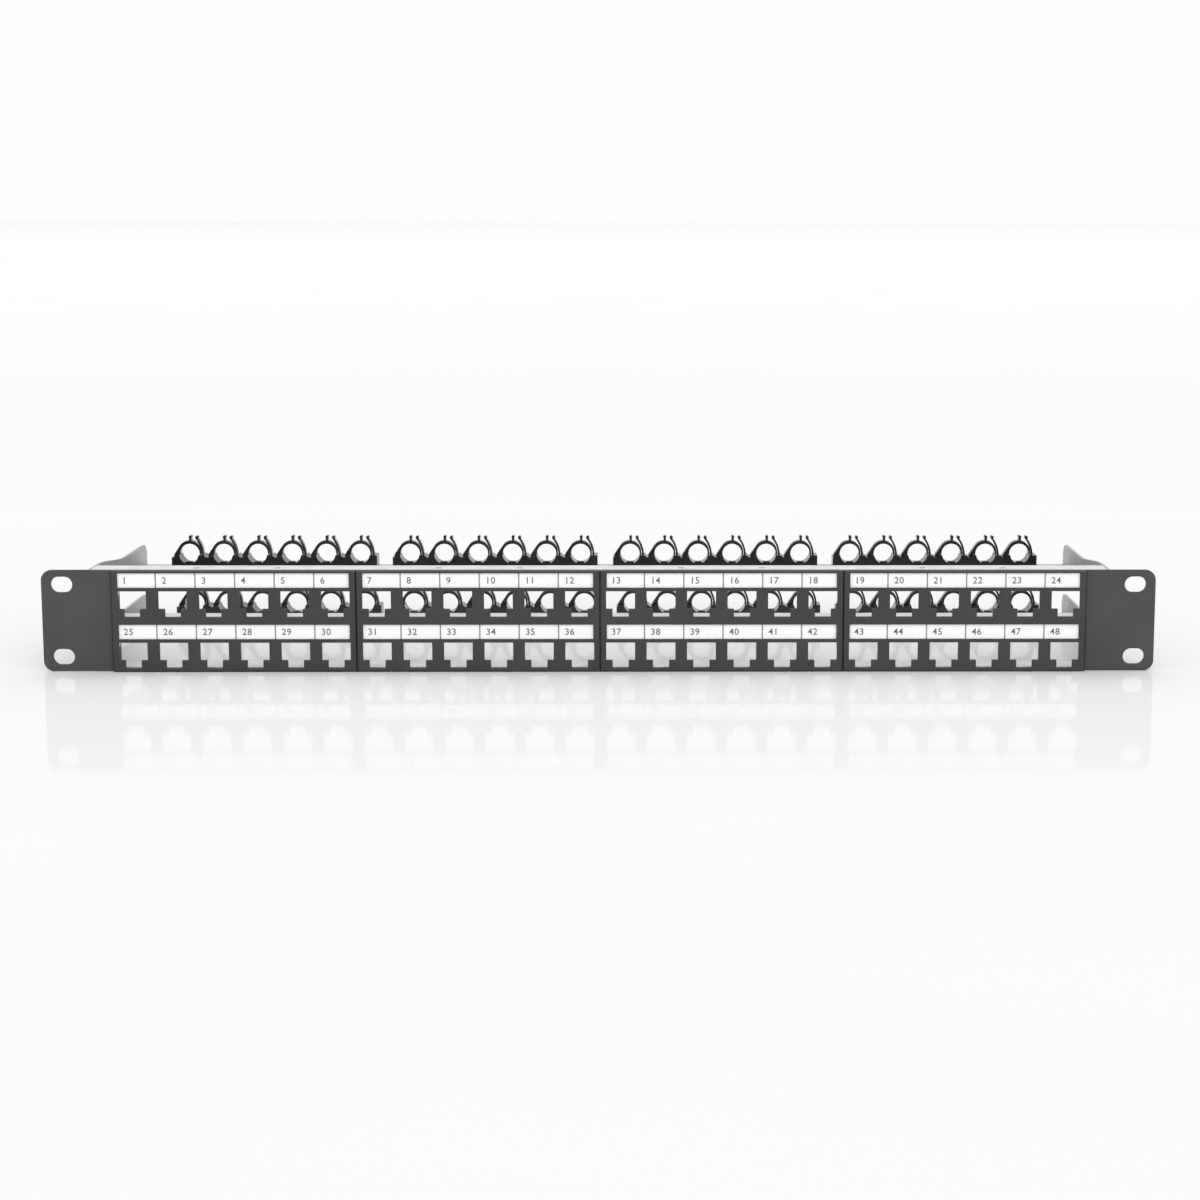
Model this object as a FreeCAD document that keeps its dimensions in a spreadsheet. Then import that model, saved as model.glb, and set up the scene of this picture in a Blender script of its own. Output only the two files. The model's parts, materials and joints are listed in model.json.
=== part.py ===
# 48-port modular patch panel, 1U high, for a 19-inch rack.  Millimetres.
#
# Frame: +X to the right seen from the front, +Y to the rear, +Z up.  The origin is the centre of the
# four rack slots, in the plane where the rack ears bear on the rack's rails.
#
# Two black rack ears are riveted to a galvanised frame that forms two rows of jack bays.  Four plastic
# bezels close the front, each with twelve ports, two label strips and two clear label covers.  Behind
# the frame two galvanised cable bars, one per row, carry clip strips: every port has a cable clip with
# a hinged strap that closes against a latch finger.

import FreeCAD
import Part
import Sketcher
import math
import os

DIMENSIONS = [
    ("panel_width", 482.6, "overall width over the rack ears, 19 inch"),
    ("panel_height", 44.4, "height of a 1U front"),
    ("ear_sheet", 1.5, "thickness of the rack ears' steel"),
    ("ear_corner", 4.5, "radius of the ears' outer corners"),
    ("ear_tab_reach", 12.5, "how far an ear's folded tab runs back from its plate"),
    ("ear_tab_half", 20.5, "half height of an ear's tab"),
    ("ear_bend_outside", 0.6, "outside radius of an ear's fold"),
    ("ear_bend_inside", 0.4, "inside radius of an ear's fold"),
    ("slot_spacing_across", 465.1, "rack slots, centre to centre across the rack"),
    ("slot_spacing_up", 31.75, "rack slots, centre to centre up the rack"),
    ("slot_length", 9.4, "length of a rack slot"),
    ("slot_width", 6.9, "width of a rack slot"),
    ("module_count", 4, "bezels side by side"),
    ("module_pitch", 105.45, "one bezel with its gap"),
    ("module_gap", 0.2, "gap between neighbouring bezels"),
    ("ports_per_row", 6, "ports in one row of one bezel"),
    ("port_pitch", 17.54, "port to port along a row"),
    ("row_pitch", 22.55, "upper row to lower row on the bezel"),
    ("port_width", 12.5, "width of a port"),
    ("port_bottom", 5.4, "lower edge of an upper port's wide part"),
    ("port_top", 13.3, "upper edge of an upper port"),
    ("notch_width", 7.0, "width of the latch notch below a port"),
    ("notch_bottom", 1.9, "lower edge of an upper port's latch notch"),
    ("window_width", 99.8, "length of a label window"),
    ("window_bottom", 14.65, "lower edge of the upper label window"),
    ("window_top", 21.2, "upper edge of the upper label window"),
    ("window_depth", 1.3, "depth of a label window"),
    ("label_sheet", 0.3, "thickness of a label strip"),
    ("cover_sheet", 0.8, "thickness of a clear label cover"),
    ("cover_clearance", 0.1, "gap around a label and its cover"),
    ("cover_gap", 0.1, "gap between a label and its cover"),
    ("bezel_depth", 4.0, "bezel, from its face to the frame"),
    ("bezel_face", 2.0, "thickness of the bezel's face behind the ports"),
    ("bezel_round", 0.8, "radius of the bezel's outer edges"),
    ("seat_width", 15.3, "jack seat behind a port, width"),
    ("seat_bottom", 1.3, "jack seat of the upper row, lower edge"),
    ("seat_top", 14.2, "jack seat of the upper row, upper edge"),
    ("hook_width", 2.0, "width of a snap hook"),
    ("hook_sheet", 1.2, "thickness of a snap hook's arm"),
    ("hook_reach", 6.8, "how far a snap hook runs back"),
    ("hook_barb", 0.8, "height of a snap hook's barb"),
    ("hook_barb_start", 5.0, "where the barb begins"),
    ("hook_root", 1.0, "how deep a snap hook's arm sits in the bezel"),
    ("hook_slack", 0.3, "gap around a snap hook in its slot"),
    ("frame_half_width", 221.3, "outer face of the frame's end wall"),
    ("frame_half_height", 22.0, "outer face of the frame's top and bottom flanges"),
    ("frame_sheet", 1.2, "thickness of the galvanised sheet"),
    ("frame_depth", 12.5, "depth of the frame's flanges"),
    ("shelf_top", 0.8, "top face of the middle shelf"),
    ("inner_wall", 212.5, "bay side of the frame's inner end wall"),
    ("fold_relief", 0.6, "relief in the inner wall for the ear's fold"),
    ("fold_relief_slack", 0.2, "how far the relief runs past the inner wall"),
    ("rivet_place", 7.0, "ear rivets, distance behind the ears"),
    ("rivet_height", 11.0, "ear rivets, distance from mid-height"),
    ("rivet_radius", 1.5, "shank of a rivet"),
    ("rivet_head_radius", 2.4, "head of a rivet"),
    ("rivet_head_height", 0.9, "head of a rivet"),
    ("rivet_tail_radius", 2.0, "closed end of a rivet"),
    ("screw_place", 8.0, "bar screws, distance behind the ears"),
    ("screw_above", 2.7, "upper screw of a bar, above the row of rings"),
    ("screw_below", 7.6, "lower screw of a bar, below the row of rings"),
    ("screw_radius", 1.5, "shank of a screw"),
    ("screw_length", 4.0, "shank of a screw under its head"),
    ("screw_head_radius", 2.8, "head of a screw"),
    ("screw_head_height", 1.7, "head of a screw"),
    ("cross_width", 0.8, "cross recess of a screw"),
    ("cross_length", 3.0, "cross recess of a screw"),
    ("cross_depth", 1.0, "cross recess of a screw"),
    ("fit_clearance", 0.1, "radial gap of a shank in its hole"),
    ("upper_rings", 13.1, "height of the upper row of rings"),
    ("lower_rings", -11.0, "height of the lower row of rings"),
    ("upper_shift", -0.25, "how far the upper clip strips sit to the right of the bezels"),
    ("lower_shift", 1.4, "how far the lower clip strips sit to the right of the bezels"),
    ("bar_half_width", 222.5, "outer face of a cable bar's arm"),
    ("bar_front", 95.1, "front edge of a cable bar's plate"),
    ("bar_rear", 111.3, "rear edge of a cable bar"),
    ("arm_front", 1.0, "front edge of a cable bar's arm"),
    ("arm_top_front", 8.35, "top of an arm at the frame, above the rings"),
    ("arm_top_rear", 3.8, "top of an arm at the plate, above the rings"),
    ("arm_bottom_front", -10.4, "bottom of an arm at the frame, from the rings"),
    ("arm_slope_start", 26.0, "where an arm's top begins to fall"),
    ("arm_slope_end", 64.0, "where an arm's top is level again"),
    ("arm_rise_start", 46.0, "where an arm's bottom begins to rise"),
    ("arm_rise_end", 92.0, "where an arm's bottom reaches the plate"),
    ("arm_soft_bend", 110.0, "radius of the bends in an arm's top edge"),
    ("arm_corner", 6.0, "radius of an arm's rear corner"),
    ("strip_length", 98.0, "length of a clip strip"),
    ("strip_front", 101.7, "front face of the clip strips"),
    ("strip_depth", 9.0, "depth of a clip strip"),
    ("strip_bottom", -6.4, "underside of a clip strip, from the rings"),
    ("strip_top", -0.6, "top of a clip strip beside its rings"),
    ("clip_pitch", 16.34, "ring to ring along a strip"),
    ("ring_radius", 4.6, "radius of the cable ring"),
    ("bow_radius", 5.5, "outside radius of a strap's bow"),
    ("bow_across", -0.15, "centre of the bow, from its ring's centre"),
    ("bow_up", 0.65, "centre of the bow, from its ring's centre"),
    ("strap_depth", 3.4, "depth of a strap"),
    ("strap_foot", -0.4, "lower edge of a closed strap"),
    ("hinge_across", -6.5, "hinge of a strap, from its ring's centre"),
    ("hinge_up", -0.9, "hinge of a strap, from its ring's centre"),
    ("hinge_radius", 1.1, "root of a strap"),
    ("hinge_clearance", 0.2, "gap between a strap's root and its seat"),
    ("relief_depth", 0.9, "how far the strip dips before a hinge"),
    ("relief_reach", 2.7, "how far the dip runs from a hinge"),
    ("finger_inside", 12.25, "inner face of a latch finger, radius about the hinge"),
    ("finger_sheet", 0.9, "thickness of a latch finger"),
    ("finger_depth", 3.0, "depth of a latch finger"),
    ("finger_angle", 40.8, "how far a latch finger reaches about the hinge, in degrees"),
    ("finger_knob", 0.78, "radius of a latch finger's tip"),
    ("knob_setback", 0.05, "how far the tip stays outside the finger's inner face"),
    ("tab_across", 0.3, "centre of a strap's thumb tab"),
    ("tab_sheet", 1.1, "thickness of a strap's thumb tab"),
    ("tab_root", 0.6, "lower end of the tab's stem, outside the ring"),
    ("tab_height", 7.9, "centre of the thumb tab's knob, above the ring's centre"),
    ("tab_knob", 0.75, "radius of the thumb tab's knob"),
    ("grip_width", 3.4, "rib across the bottom of a ring"),
    ("grip_height", 1.2, "rib across the bottom of a ring"),
    ("grip_depth", 2.0, "rib across the bottom of a ring, behind the strip's face"),
    ("grip_root", 0.3, "how deep the rib sits in the strip"),
    ("stud_spacing", 49.0, "snap studs of a strip, centre to centre"),
    ("stud_radius", 1.6, "snap stud that holds a strip on its bar"),
    ("stud_head_radius", 2.2, "head of a snap stud"),
    ("stud_head_height", 0.8, "head of a snap stud"),
    ("cut_beyond", 1.0, "how far a cut runs past the material"),
]

SIDES = {"left": -1, "right": 1}
ROWS = {"upper": "dims.upper_rings", "lower": "dims.lower_rings"}
SHIFTS = {"upper": "dims.upper_shift", "lower": "dims.lower_shift"}

doc = FreeCAD.newDocument("patch_panel")
sheet = doc.addObject("Spreadsheet::Sheet", "dims")
for number, (alias, size, meaning) in enumerate(DIMENSIONS, start=1):
    sheet.set(f"A{number}", alias)
    sheet.set(f"B{number}", str(size))
    sheet.set(f"C{number}", meaning)
    sheet.setAlias(f"B{number}", alias)
doc.recompute()

nodes = []


# ---------------------------------------------------------------- drawing helpers

def number_of(expression):
    """Value of a sheet expression, as a plain number."""
    result = sheet.evalExpression(str(expression))
    return float(getattr(result, "Value", result))


def place(thing, across="0", back="0", up="0"):
    """Bind an object's position to sheet expressions."""
    for axis, expression in zip("xyz", (across, back, up)):
        thing.setExpression(f".Placement.Base.{axis}", str(expression))


def new_body(name):
    body = doc.addObject("PartDesign::Body", name)
    body.Label = name
    return body


def new_sketch(body, name, role, offset="0"):
    """Sketch on one of the body's own origin planes, moved along the plane's normal by offset."""
    sketch = body.newObject("Sketcher::SketchObject", name)
    planes = [f for f in body.Origin.OriginFeatures if f.Role == role]
    sketch.AttachmentSupport = [(planes[0], "")]
    sketch.MapMode = "FlatFace"
    sketch.setExpression(".AttachmentOffset.Base.z", str(offset))
    return sketch


def front_sketch(body, name, back="0"):
    """Sketch seen from the front: x across, y up.  Its normal points to the front."""
    return new_sketch(body, name, "XZ_Plane", f"-({back})")


def pin(sketch, geometry, vertex, across, up):
    """Hold a vertex at a distance from the sketch's origin."""
    for kind, expression in (("DistanceX", across), ("DistanceY", up)):
        index = sketch.addConstraint(
            Sketcher.Constraint(kind, -1, 1, geometry, vertex, number_of(expression)))
        sketch.setExpression(f"Constraints[{index}]", str(expression))


def size_radius(sketch, geometry, radius):
    index = sketch.addConstraint(Sketcher.Constraint("Radius", geometry, number_of(radius)))
    sketch.setExpression(f"Constraints[{index}]", str(radius))


def draw_polygon(sketch, corners):
    """Closed outline of straight lines through corners given as expressions."""
    points = [FreeCAD.Vector(number_of(a), number_of(b), 0) for a, b in corners]
    lines = []
    for start, end in zip(points, points[1:] + points[:1]):
        lines.append(sketch.addGeometry(Part.LineSegment(start, end), False))
    for line, following in zip(lines, lines[1:] + lines[:1]):
        sketch.addConstraint(Sketcher.Constraint("Coincident", line, 2, following, 1))
    for line, (across, up) in zip(lines, corners):
        pin(sketch, line, 1, across, up)


def draw_rectangle(sketch, left, right, bottom, top):
    draw_polygon(sketch, [(left, bottom), (right, bottom), (right, top), (left, top)])


def draw_circle(sketch, across, up, radius):
    centre = FreeCAD.Vector(number_of(across), number_of(up), 0)
    normal = FreeCAD.Vector(0, 0, 1)
    circle = sketch.addGeometry(Part.Circle(centre, normal, number_of(radius)), False)
    pin(sketch, circle, 3, across, up)
    size_radius(sketch, circle, radius)


def draw_slot(sketch, across, up, length, width):
    """Slot with round ends that runs across."""
    reach = f"({length} - {width}) / 2"
    x, y, half, r = number_of(across), number_of(up), number_of(reach), number_of(width) / 2
    normal = FreeCAD.Vector(0, 0, 1)
    quarter = math.pi / 2
    left = Part.ArcOfCircle(Part.Circle(FreeCAD.Vector(x - half, y, 0), normal, r), quarter, 3 * quarter)
    right = Part.ArcOfCircle(Part.Circle(FreeCAD.Vector(x + half, y, 0), normal, r), -quarter, quarter)
    low = Part.LineSegment(FreeCAD.Vector(x - half, y - r, 0), FreeCAD.Vector(x + half, y - r, 0))
    high = Part.LineSegment(FreeCAD.Vector(x + half, y + r, 0), FreeCAD.Vector(x - half, y + r, 0))
    chain = [sketch.addGeometry(piece, False) for piece in (left, low, right, high)]
    for piece, following in zip(chain, chain[1:] + chain[:1]):
        sketch.addConstraint(Sketcher.Constraint("Tangent", piece, 2, following, 1))
    pin(sketch, chain[0], 3, f"{across} - {reach}", up)
    pin(sketch, chain[2], 3, f"{across} + {reach}", up)
    size_radius(sketch, chain[0], f"{width} / 2")


def pad(body, sketch, length, name, reverse=False, both=False):
    """Add material.  A pad from a front sketch runs to the rear when it is reversed."""
    feature = body.newObject("PartDesign::Pad", name)
    feature.Profile = sketch
    feature.setExpression("Length", str(length))
    feature.Reversed = reverse
    feature.Midplane = both
    sketch.Visibility = False
    body.Tip = feature
    doc.recompute()
    return feature


def pocket(body, sketch, length, name, reverse=False, both=False):
    """Take material away.  A pocket from a front sketch runs to the rear unless it is reversed."""
    before = body.Shape.Volume
    feature = body.newObject("PartDesign::Pocket", name)
    feature.Profile = sketch
    feature.setExpression("Length", str(length))
    feature.Reversed = reverse
    feature.Midplane = both
    sketch.Visibility = False
    body.Tip = feature
    doc.recompute()
    if not body.Shape.Volume < before:
        raise RuntimeError(f"{name} cuts nothing from {body.Label}")
    return feature


def repeat(body, feature, name, count, spacing):
    """Repeat a feature along X, count times in all."""
    pattern = body.newObject("PartDesign::LinearPattern", name)
    pattern.Originals = [feature]
    axis = [f for f in body.Origin.OriginFeatures if f.Role == "X_Axis"][0]
    pattern.Direction = (axis, [""])
    pattern.Mode = 1
    pattern.setExpression("Offset", str(spacing))
    pattern.setExpression("Occurrences", str(count))
    before = body.Shape.Volume
    body.Tip = pattern
    doc.recompute()
    if abs(body.Shape.Volume - before) < 1e-6:
        raise RuntimeError(f"{name} repeats nothing on {body.Label}")
    return pattern


def edges_where(shape, directions, test):
    """Names of the straight edges along the given axes whose two ends both pass a test."""
    names = []
    for index, edge in enumerate(shape.Edges, start=1):
        ends = [v.Point for v in edge.Vertexes]
        if len(ends) == 2 and edge.Curve.TypeId == "Part::GeomLine" and all(map(test, ends)):
            run = ends[1] - ends[0]
            if any(near(abs(getattr(run, axis)), run.Length) for axis in directions):
                names.append(f"Edge{index}")
    return names


def round_edges(body, name, radius, directions, test):
    """Round the straight edges along the given axes whose ends pass a test."""
    base = body.Tip
    names = edges_where(base.Shape, directions, test)
    if not names:
        raise RuntimeError(f"{name} finds no edge on {body.Label}")
    feature = body.newObject("PartDesign::Fillet", name)
    feature.Base = (base, names)
    feature.setExpression("Radius", str(radius))
    body.Tip = feature
    doc.recompute()
    return feature


def near(a, b):
    return abs(a - b) < 1e-3


def gather(name, pieces):
    """One node that holds several separate solids."""
    group = doc.addObject("Part::Compound", name)
    group.Label = name
    group.Links = pieces
    doc.recompute()
    nodes.append(group)
    return group


# ---------------------------------------------------------------- pattern of modules and ports

MODULES = range(int(number_of("dims.module_count")))
CLIPS = range(int(number_of("dims.ports_per_row")))
FIRST_MODULE = "(-(dims.module_count - 1) / 2 * dims.module_pitch)"
FIRST_PORT = "(-(dims.ports_per_row - 1) / 2 * dims.port_pitch)"
FIRST_RING = "(-(dims.ports_per_row - 1) / 2 * dims.clip_pitch)"
STRAP_FRONT = "(dims.strip_front + (dims.strip_depth - dims.strap_depth) / 2)"
DROPS = {"upper": "0", "lower": "dims.row_pitch"}


def module_middle(module):
    return f"({FIRST_MODULE} + {module} * dims.module_pitch)"


# ---------------------------------------------------------------- rack ears

def make_ear(side, sign):
    """Plate with two rack slots, folded back beside the end bezel into a tab."""
    body = new_body(f"{side}_ear")
    outer = f"{sign} * dims.panel_width / 2"
    fold = f"{sign} * (dims.inner_wall - dims.ear_sheet)"
    inside = f"{sign} * dims.inner_wall"
    section = new_sketch(body, f"{side}_ear_section", "XY_Plane")
    draw_polygon(section, [
        (outer, "-dims.ear_sheet"), (fold, "-dims.ear_sheet"), (fold, "dims.ear_tab_reach"),
        (inside, "dims.ear_tab_reach"), (inside, "0"), (outer, "0")])
    pad(body, section, "dims.panel_height", f"{side}_ear_blank", both=True)

    trim = new_sketch(body, f"{side}_ear_trim_outline", "YZ_Plane", inside)
    for above in (1, -1):
        draw_rectangle(trim, "0", "dims.ear_tab_reach + dims.cut_beyond", f"{above} * dims.ear_tab_half",
                       f"{above} * (dims.panel_height / 2 + dims.cut_beyond)")
    pocket(body, trim, "4 * dims.ear_sheet", f"{side}_ear_trim", both=True)

    slots = front_sketch(body, f"{side}_ear_slot_outline", "-2 * dims.ear_sheet")
    for above in (1, -1):
        draw_slot(slots, f"{sign} * dims.slot_spacing_across / 2", f"{above} * dims.slot_spacing_up / 2",
                  "dims.slot_length", "dims.slot_width")
    pocket(body, slots, "3 * dims.ear_sheet", f"{side}_ear_slots")

    holes = new_sketch(body, f"{side}_ear_hole_outline", "YZ_Plane", inside)
    for above in (1, -1):
        draw_circle(holes, "dims.rivet_place", f"{above} * dims.rivet_height",
                    "dims.rivet_radius + dims.fit_clearance")
    pocket(body, holes, "4 * dims.ear_sheet", f"{side}_ear_holes", both=True)

    fold_x = number_of(fold)
    inside_x = number_of(inside)
    outer_x = number_of(outer)
    front_y = -number_of("dims.ear_sheet")
    tab_z = number_of("dims.ear_tab_half")
    round_edges(body, f"{side}_ear_fold_outside", "dims.ear_bend_outside", "z",
                lambda p: near(p.x, fold_x) and near(p.y, front_y))
    round_edges(body, f"{side}_ear_fold_inside", "dims.ear_bend_inside", "z",
                lambda p: near(p.x, inside_x) and near(p.y, 0) and near(abs(p.z), tab_z))
    top_z = number_of("dims.panel_height / 2")
    for above in (1, -1):
        round_edges(body, f"{side}_ear_corner_{'top' if above > 0 else 'bottom'}", "dims.ear_corner", "y",
                    lambda p: near(p.x, outer_x) and near(p.z, above * top_z))
    return body


# ---------------------------------------------------------------- galvanised frame

def make_frame():
    """Flanges, middle shelf, posts and end walls around two rows of jack bays, with slots for the hooks."""
    body = new_body("rear_frame")
    outline = front_sketch(body, "frame_outline")
    draw_rectangle(outline, "-dims.frame_half_width", "dims.frame_half_width",
                   "-dims.frame_half_height", "dims.frame_half_height")
    pad(body, outline, "dims.frame_depth", "frame_blank", reverse=True)

    inner_height = "(dims.frame_half_height - dims.frame_sheet)"
    first_left = "(-2 * dims.module_pitch + dims.frame_sheet / 2)"
    first_right = "(-dims.module_pitch - dims.frame_sheet / 2)"
    bays = front_sketch(body, "bay_outline")
    draw_rectangle(bays, first_left, first_right, "dims.shelf_top", inner_height)
    draw_rectangle(bays, first_left, first_right, f"-{inner_height}", "dims.shelf_top - dims.frame_sheet")
    first = pocket(body, bays, "dims.frame_depth + dims.cut_beyond", "bays")
    repeat(body, first, "bay_row", "dims.module_count", "dims.module_pitch")

    ends = front_sketch(body, "end_outline")
    for sign in SIDES.values():
        draw_rectangle(ends, f"{sign} * (2 * dims.module_pitch - dims.frame_sheet / 2)",
                       f"{sign} * dims.inner_wall", f"-{inner_height}", inner_height)
        draw_rectangle(ends, f"{sign} * (dims.inner_wall + dims.frame_sheet)",
                       f"{sign} * (dims.frame_half_width - dims.frame_sheet)",
                       f"-{inner_height}", inner_height)
    pocket(body, ends, "dims.frame_depth + dims.cut_beyond", "end_boxes")

    relief = front_sketch(body, "fold_relief_outline")
    for sign in SIDES.values():
        draw_rectangle(relief, f"{sign} * (dims.inner_wall - dims.fold_relief_slack)",
                       f"{sign} * (dims.inner_wall + dims.frame_sheet + dims.fold_relief_slack)",
                       f"-{inner_height}", inner_height)
    pocket(body, relief, "dims.fold_relief", "fold_reliefs")

    for name, sign in (("top", 1), ("bottom", -1)):
        hooks = new_sketch(body, f"{name}_hook_outline", "XY_Plane", f"{sign} * dims.frame_half_height")
        for beside in SIDES.values():
            middle = f"({FIRST_MODULE} + {beside} * dims.port_pitch)"
            half = "(dims.hook_width / 2 + dims.hook_slack)"
            draw_rectangle(hooks, f"{middle} - {half}", f"{middle} + {half}",
                           "dims.hook_barb_start - dims.hook_slack", "dims.hook_reach + dims.hook_slack")
        first = pocket(body, hooks, "2 * dims.frame_sheet", f"{name}_hook_slot", reverse=sign < 0)
        repeat(body, first, f"{name}_hook_slots", "dims.module_count", "dims.module_pitch")

    for side, sign in SIDES.items():
        outer = new_sketch(body, f"{side}_screw_outline", "YZ_Plane", f"{sign} * dims.frame_half_width")
        for rings in ROWS.values():
            for height in (f"{rings} + dims.screw_above", f"{rings} - dims.screw_below"):
                draw_circle(outer, "dims.screw_place", height, "dims.screw_radius + dims.fit_clearance")
        pocket(body, outer, "4 * dims.frame_sheet", f"{side}_screw_holes", both=True)
        inner = new_sketch(body, f"{side}_rivet_outline", "YZ_Plane", f"{sign} * dims.inner_wall")
        for above in (1, -1):
            draw_circle(inner, "dims.rivet_place", f"{above} * dims.rivet_height",
                        "dims.rivet_radius + dims.fit_clearance")
        pocket(body, inner, "4 * dims.frame_sheet", f"{side}_rivet_holes", both=True)

    half_x = number_of("dims.frame_half_width")
    half_z = number_of("dims.frame_half_height")
    round_edges(body, "frame_folds", "dims.frame_sheet", "y",
                lambda p: near(abs(p.x), half_x) and near(abs(p.z), half_z))
    nodes.append(body)


# ---------------------------------------------------------------- bezels

def port_corners(middle, drop):
    """Outline of a port: a wide part for the plug and a notch below it for the plug's latch."""
    wide = ("dims.port_width / 2", f"dims.port_bottom - {drop}", f"dims.port_top - {drop}")
    narrow = ("dims.notch_width / 2", f"dims.notch_bottom - {drop}")
    return [
        (f"{middle} - {narrow[0]}", narrow[1]), (f"{middle} + {narrow[0]}", narrow[1]),
        (f"{middle} + {narrow[0]}", wide[1]), (f"{middle} + {wide[0]}", wide[1]),
        (f"{middle} + {wide[0]}", wide[2]), (f"{middle} - {wide[0]}", wide[2]),
        (f"{middle} - {wide[0]}", wide[1]), (f"{middle} - {narrow[0]}", wide[1])]


def make_bezel(module):
    """Moulded front of twelve ports, with label windows and snap hooks between the ports."""
    name = f"bezel_{module + 1}"
    body = new_body(name)
    half_width = "(dims.module_pitch - dims.module_gap) / 2"
    half_height = "dims.panel_height / 2"
    face = "-dims.bezel_depth"
    outline = front_sketch(body, f"{name}_outline", face)
    draw_rectangle(outline, f"-{half_width}", half_width, f"-{half_height}", half_height)
    pad(body, outline, "dims.bezel_depth", f"{name}_blank", reverse=True)

    front_y = -number_of("dims.bezel_depth")
    edge_x = number_of(half_width)
    edge_z = number_of(half_height)
    round_edges(body, f"{name}_rounding", "dims.bezel_round", "xz",
                lambda p: near(p.y, front_y) and (near(abs(p.x), edge_x) or near(abs(p.z), edge_z)))

    windows = front_sketch(body, f"{name}_window_outline", face)
    for drop in DROPS.values():
        draw_rectangle(windows, "-dims.window_width / 2", "dims.window_width / 2",
                       f"dims.window_bottom - {drop}", f"dims.window_top - {drop}")
    pocket(body, windows, "dims.window_depth", f"{name}_windows")

    seats = front_sketch(body, f"{name}_seat_outline", "dims.bezel_face - dims.bezel_depth")
    ports = front_sketch(body, f"{name}_port_outline", face)
    for drop in DROPS.values():
        draw_rectangle(seats, f"{FIRST_PORT} - dims.seat_width / 2", f"{FIRST_PORT} + dims.seat_width / 2",
                       f"dims.seat_bottom - {drop}", f"dims.seat_top - {drop}")
        draw_polygon(ports, port_corners(FIRST_PORT, drop))
    first = pocket(body, seats, "dims.bezel_depth", f"{name}_seat")
    repeat(body, first, f"{name}_seats", "dims.ports_per_row", "dims.port_pitch")
    first = pocket(body, ports, "dims.bezel_depth", f"{name}_port")
    repeat(body, first, f"{name}_ports", "dims.ports_per_row", "dims.port_pitch")

    flange = "(dims.frame_half_height - dims.frame_sheet - dims.cover_clearance)"
    for place_name, sign in (("top", 1), ("bottom", -1)):
        profile = new_sketch(body, f"{name}_{place_name}_hook_outline", "YZ_Plane",
                             "-dims.port_pitch - dims.hook_width / 2")
        arm = f"{sign} * {flange}"
        draw_polygon(profile, [
            ("-dims.hook_root", f"{arm} - {sign} * dims.hook_sheet"),
            ("dims.hook_reach", f"{arm} - {sign} * dims.hook_sheet"),
            ("dims.hook_reach", arm),
            ("dims.hook_barb_start", f"{arm} + {sign} * dims.hook_barb"),
            ("dims.hook_barb_start", arm), ("-dims.hook_root", arm)])
        first = pad(body, profile, "dims.hook_width", f"{name}_{place_name}_hook")
        repeat(body, first, f"{name}_{place_name}_hooks", "2", "2 * dims.port_pitch")
    place(body, across=module_middle(module))
    nodes.append(body)


def make_label_layer(kind, thickness, back):
    """One thin bar in every label window, as a node of separate solids."""
    bars = []
    for module in MODULES:
        for row, drop in DROPS.items():
            bar = doc.addObject("Part::Box", f"{kind}_{row}_{module + 1}")
            bar.setExpression("Length", "dims.window_width - 2 * dims.cover_clearance")
            bar.setExpression("Width", thickness)
            bar.setExpression("Height", "dims.window_top - dims.window_bottom - 2 * dims.cover_clearance")
            place(bar,
                  across=f"{module_middle(module)} - dims.window_width / 2 + dims.cover_clearance",
                  back=back,
                  up=f"dims.window_bottom + dims.cover_clearance - {drop}")
            bars.append(bar)
    gather(kind, bars)


# ---------------------------------------------------------------- cable bars

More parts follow.
